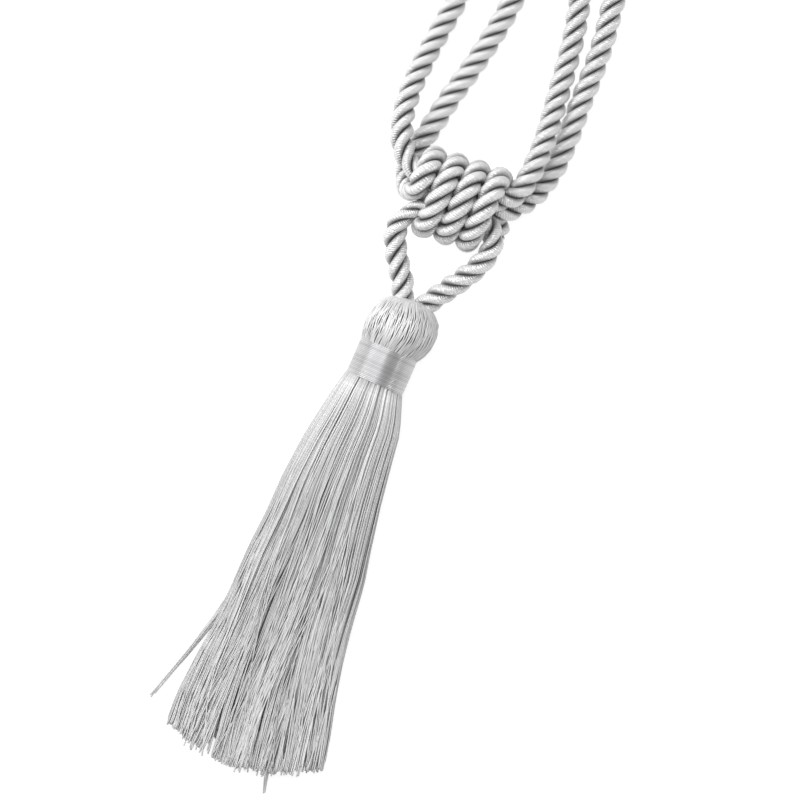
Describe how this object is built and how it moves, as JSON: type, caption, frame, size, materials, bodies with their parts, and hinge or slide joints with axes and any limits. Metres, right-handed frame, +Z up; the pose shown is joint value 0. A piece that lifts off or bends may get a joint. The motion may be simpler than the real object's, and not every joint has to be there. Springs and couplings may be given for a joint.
{
  "type": "curtain tieback tassel",
  "caption": "Twisted rope curtain tieback with a barrel knot between two long loops and a long thread tassel hanging below it.",
  "frame": {"origin": "middle of the outline seen from above, on the surface the tieback lies on", "axes": "+Y from the tassel's cut end to the far ends of the two rope loops, +Z up out of the surface"},
  "size_m": [0.1199, 0.5238, 0.0362],
  "materials": {
    "rope": "twisted satin rope, silver grey",
    "thread": "loose satin thread, silver grey",
    "band": "tightly wound satin thread, silver grey"
  },
  "bodies": {
    "root": {"rope": "rope", "hanging_loop": "rope", "tassel": "thread", "neck_band": "band"}
  },
  "joints": []
}
